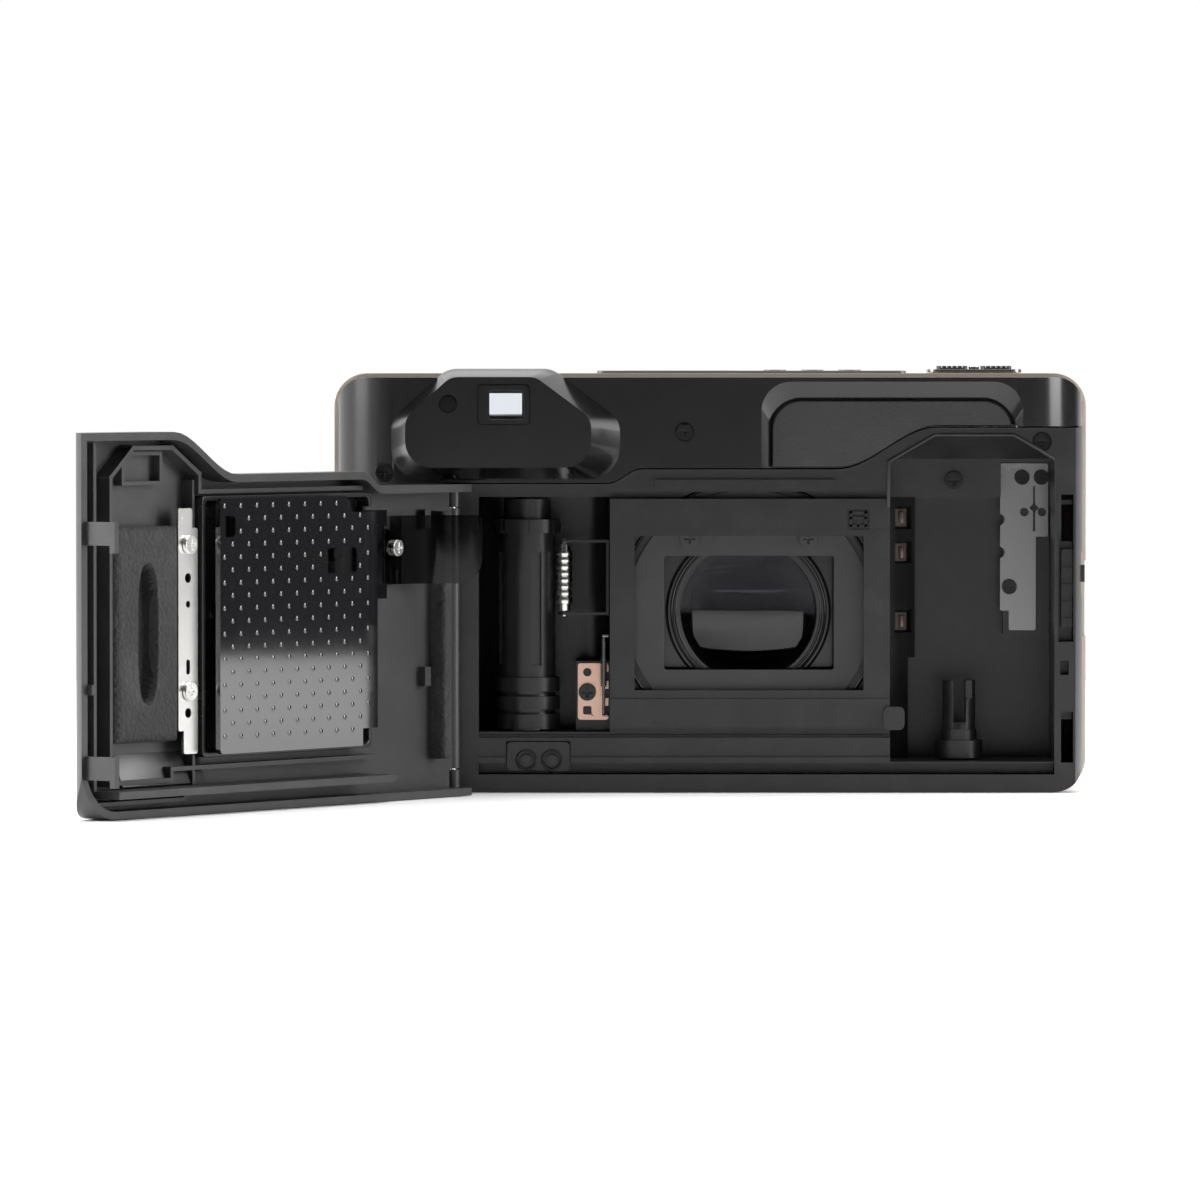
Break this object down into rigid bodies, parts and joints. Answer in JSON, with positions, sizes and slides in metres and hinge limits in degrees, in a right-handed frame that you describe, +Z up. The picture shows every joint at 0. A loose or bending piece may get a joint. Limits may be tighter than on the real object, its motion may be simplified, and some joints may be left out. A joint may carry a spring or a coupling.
{
  "type": "35 mm compact camera",
  "caption": "Zoom compact film camera with its hinged back door open, showing film gate, spool, cassette chamber and pressure plate.",
  "frame": {"origin": "mouth of the tripod socket, in the base plane", "axes": "+Z up, +Y towards the lens, +X towards the cassette side (the viewer's right)"},
  "size_m": [0.2076, 0.1676, 0.0903],
  "materials": {
    "champagne_shell": "satin champagne paint",
    "gloss_black": "gloss",
    "grain_black": "fine grain",
    "chassis_black": "satin",
    "black_plate": "black",
    "barrel_grey": "satin dark grey",
    "glossy_plate": "gloss black",
    "nickel": "bright",
    "steel": "brushed",
    "black_screw": "black oxide",
    "copper": "rose copper",
    "gold_contact": "plated",
    "foam": "foam",
    "clear_window": "clear",
    "smoked_leaf": "smoked clear",
    "flash_lens": "ribbed clear",
    "coated_glass": "coated",
    "mirror_metal": "polished",
    "lamp_green": "gloss",
    "board_green": "satin",
    "battery_wrap": "gloss",
    "panel_grey": "satin"
  },
  "bodies": {
    "camera": {"front_cover": "champagne_shell", "rear_cover": "gloss_black", "thumb_pad": "grain_black", "eyepiece_frame": "grain_black", "eyepiece_lens": "clear_window", "finder_tube": "chassis_black", "finder_window": "clear_window", "finder_lamp": "lamp_green", "cover_screws": "black_screw", "film_chassis": "chassis_black", "aperture_mask": "black_plate", "mask_screws": "steel", "light_box": "chassis_black", "dx_contacts": "gold_contact", "guide_plate": "steel", "guide_plate_screws": "black_screw", "chamber_screws": "black_screw", "contact_plate": "copper", "contact_plate_screw": "black_screw", "data_contacts": "gold_contact", "film_wire": "steel", "roller_bracket": "steel", "wind_motor": "steel", "hinge_pin": "nickel", "tripod_socket": "nickel", "strap_lug": "nickel", "lens_base": "black_plate", "lens_trim": "gloss_black", "flash_window": "flash_lens", "flash_reflector": "mirror_metal", "af_window": "smoked_leaf", "main_board": "board_green", "battery_tube": "chassis_black", "battery": "battery_wrap", "top_panel": "panel_grey", "release_bezel": "steel"},
    "film_roller": {"film_roller": "nickel"},
    "take_up_spool": {"take_up_spool": "chassis_black"},
    "rewind_fork": {"rewind_fork": "chassis_black"},
    "zoom_large": {"lens_barrel_large": "barrel_grey"},
    "zoom_small": {"lens_barrel_small": "barrel_grey", "rear_cell": "black_plate", "front_glass": "coated_glass", "rear_glass": "coated_glass"},
    "barrier_upper": {"barrier_upper": "barrel_grey"},
    "barrier_lower": {"barrier_lower": "barrel_grey"},
    "battery_door": {"battery_door": "champagne_shell"},
    "shutter_button": {"shutter_button": "nickel"},
    "zoom_tele": {"zoom_tele": "grain_black"},
    "zoom_wide": {"zoom_wide": "grain_black"},
    "latch_bar": {"latch_bar": "grain_black"},
    "back_door": {"door_shell": "chassis_black", "door_seal": "foam", "cassette_pad": "foam", "pad_bracket": "nickel", "door_screws": "nickel", "plate_tray": "chassis_black", "film_leaf": "smoked_leaf", "date_panel": "gloss_black"},
    "pressure_plate": {"pressure_plate": "glossy_plate"}
  },
  "joints": [
    {"name": "door_hinge", "type": "hinge", "parent": "camera", "child": "back_door", "pos_m": [-0.0545, -0.024, 0.03], "axis": [0, 0, -1], "range_deg": [-126, 4]},
    {"name": "plate_float", "type": "slide", "parent": "back_door", "child": "pressure_plate", "axis": [0.809, -0.5878, 0], "range_m": [-0.0003, 0], "stiffness_N_per_m": 600},
    {"name": "latch_slide", "type": "slide", "parent": "camera", "child": "latch_bar", "axis": [0, 0, 1], "range_m": [0, 0.0016]},
    {"name": "spool_spin", "type": "hinge", "parent": "camera", "child": "take_up_spool", "pos_m": [-0.0389, -0.005, 0.038], "axis": [0, 0, 1], "continuous": true},
    {"name": "roller_spin", "type": "hinge", "parent": "camera", "child": "film_roller", "pos_m": [-0.031, -0.007, 0.045], "axis": [0, 0, 1], "continuous": true},
    {"name": "fork_spin", "type": "hinge", "parent": "camera", "child": "rewind_fork", "pos_m": [0.053, -0.006, 0.01], "axis": [0, 0, 1], "continuous": true},
    {"name": "zoom_large_slide", "type": "slide", "parent": "camera", "child": "zoom_large", "axis": [0, 1, 0], "range_m": [0, 0.012]},
    {"name": "zoom_small_slide", "type": "slide", "parent": "zoom_large", "child": "zoom_small", "axis": [0, 1, 0], "range_m": [0, 0.01]},
    {"name": "barrier_upper_pivot", "type": "hinge", "parent": "zoom_small", "child": "barrier_upper", "pos_m": [0.0232, 0.0268, 0.0392], "axis": [0, 1, 0], "range_deg": [0, 42]},
    {"name": "barrier_lower_pivot", "type": "hinge", "parent": "zoom_small", "child": "barrier_lower", "pos_m": [-0.0068, 0.0268, 0.0368], "axis": [0, 1, 0], "range_deg": [0, 42]},
    {"name": "battery_door_hinge", "type": "hinge", "parent": "camera", "child": "battery_door", "pos_m": [-0.0767, 0.004, 0.0001], "axis": [0, 1, 0], "range_deg": [0, 95]},
    {"name": "shutter_press", "type": "slide", "parent": "camera", "child": "shutter_button", "axis": [0, 0, -1], "range_m": [0, 0.0006], "stiffness_N_per_m": 400},
    {"name": "zoom_tele_press", "type": "slide", "parent": "camera", "child": "zoom_tele", "axis": [0, 0, -1], "range_m": [0, 0.0006], "stiffness_N_per_m": 400},
    {"name": "zoom_wide_press", "type": "slide", "parent": "camera", "child": "zoom_wide", "axis": [0, 0, -1], "range_m": [0, 0.0006], "stiffness_N_per_m": 400}
  ],
  "couplings": [
    {"joint": "zoom_small_slide", "follows": "zoom_large_slide", "ratio": 0.83333},
    {"joint": "barrier_lower_pivot", "follows": "barrier_upper_pivot", "ratio": 1}
  ]
}
